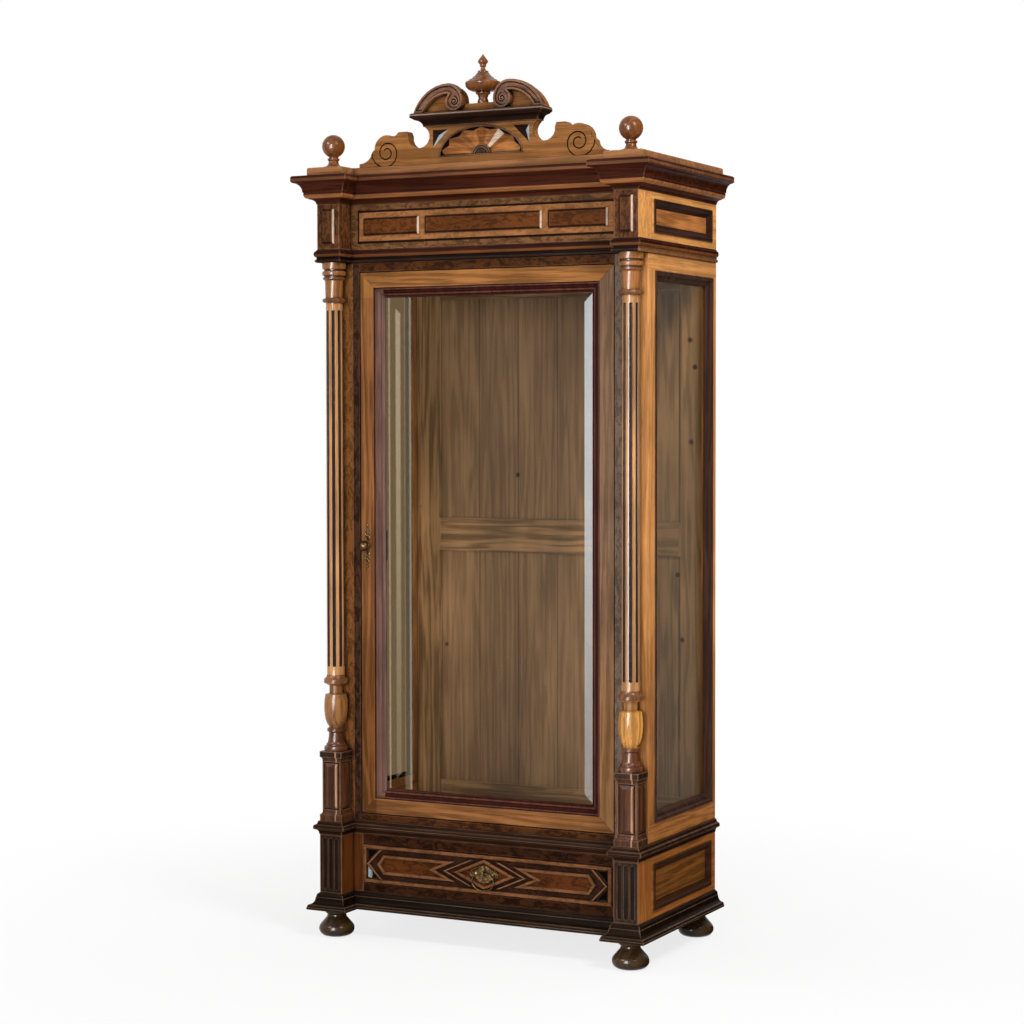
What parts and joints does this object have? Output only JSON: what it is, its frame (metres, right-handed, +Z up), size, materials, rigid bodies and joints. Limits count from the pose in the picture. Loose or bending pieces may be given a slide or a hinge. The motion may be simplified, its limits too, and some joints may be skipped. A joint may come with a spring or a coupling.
{
  "type": "display armoire",
  "caption": "Tall revival display armoire: glazed door between fluted columns on pedestals, glazed sides, base drawer with ring pull, moulded cornice and carved fan crest.",
  "frame": {"origin": "on the floor under the middle of the whole object's box", "axes": "+Z up, +X to the right of a person facing the front, +Y from the front to the back"},
  "size_m": [1.166, 0.632, 2.6209],
  "materials": {
    "light_walnut": "light walnut veneer, french polished",
    "golden_walnut": "golden walnut, french polished",
    "walnut": "dark walnut, french polished",
    "burl": "burl walnut veneer, polished",
    "ebonised": "ebonised brown-black wood, satin",
    "mahogany": "dark red stained moulding, polished",
    "pine": "bare knotty softwood",
    "glass": "clear bevelled plate",
    "brass": "aged brass",
    "iron": "dark iron"
  },
  "bodies": {
    "carcass": {"foot_front_left": "ebonised", "foot_front_right": "ebonised", "foot_back_left": "ebonised", "foot_back_right": "ebonised", "plinth": "ebonised", "waist": "ebonised", "crest_shelf": "ebonised", "base_post_left": "ebonised", "base_post_right": "ebonised", "pedestal_left": "ebonised", "pedestal_right": "ebonised", "base_side_left": "golden_walnut", "base_side_right": "golden_walnut", "side_frame_left": "golden_walnut", "side_frame_right": "golden_walnut", "frieze_side_left": "golden_walnut", "frieze_side_right": "golden_walnut", "crest_fan": "golden_walnut", "top_board": "light_walnut", "crest_board": "light_walnut", "column_left": "light_walnut", "column_right": "light_walnut", "necking": "walnut", "cornice": "walnut", "centre_finial": "walnut", "ball_finial_left": "walnut", "ball_finial_right": "walnut", "crest_scroll_left": "walnut", "crest_scroll_right": "walnut", "drawer_rail_top": "burl", "drawer_rail_bottom": "burl", "head_rail": "burl", "sill_rail": "burl", "frieze_board": "burl", "front_post_left": "burl", "front_post_right": "burl", "frieze_block_left": "burl", "frieze_block_right": "burl", "back_panel": "pine", "drawer_runner_left": "pine", "drawer_runner_right": "pine", "side_glass_left": "glass", "side_glass_right": "glass"},
    "door": {"door_stile_left": "light_walnut", "door_stile_right": "light_walnut", "door_rail_top": "light_walnut", "door_rail_bottom": "light_walnut", "door_moulding": "mahogany", "door_glass": "glass", "lock_case": "iron"},
    "door_knob": {"door_knob": "brass"},
    "lock_bolt": {"lock_bolt": "brass"},
    "drawer": {"drawer_front": "walnut", "drawer_side_left": "pine", "drawer_side_right": "pine", "drawer_back": "pine", "drawer_bottom": "pine", "drawer_pull_plate": "brass"},
    "drawer_ring": {"drawer_ring": "brass"}
  },
  "joints": [
    {"name": "door_hinge", "type": "hinge", "parent": "carcass", "child": "door", "pos_m": [0.4025, -0.181, 0.372], "axis": [0, 0, 1], "range_deg": [0, 110]},
    {"name": "door_knob_turn", "type": "hinge", "parent": "door", "child": "door_knob", "pos_m": [-0.3955, -0.1883, 1.18], "axis": [0, -1, 0], "range_deg": [0, 90]},
    {"name": "lock_bolt_slide", "type": "slide", "parent": "door", "child": "lock_bolt", "axis": [-1, 0, 0], "range_m": [0, 0.016]},
    {"name": "drawer_slide", "type": "slide", "parent": "carcass", "child": "drawer", "axis": [0, -1, 0], "range_m": [0, 0.3]},
    {"name": "drawer_ring_swing", "type": "hinge", "parent": "drawer", "child": "drawer_ring", "pos_m": [0, -0.2008, 0.22425], "axis": [-1, 0, 0], "range_deg": [0, 75]}
  ],
  "couplings": [
    {"joint": "lock_bolt_slide", "follows": "door_knob_turn", "m_per_rad": 0.010185}
  ]
}
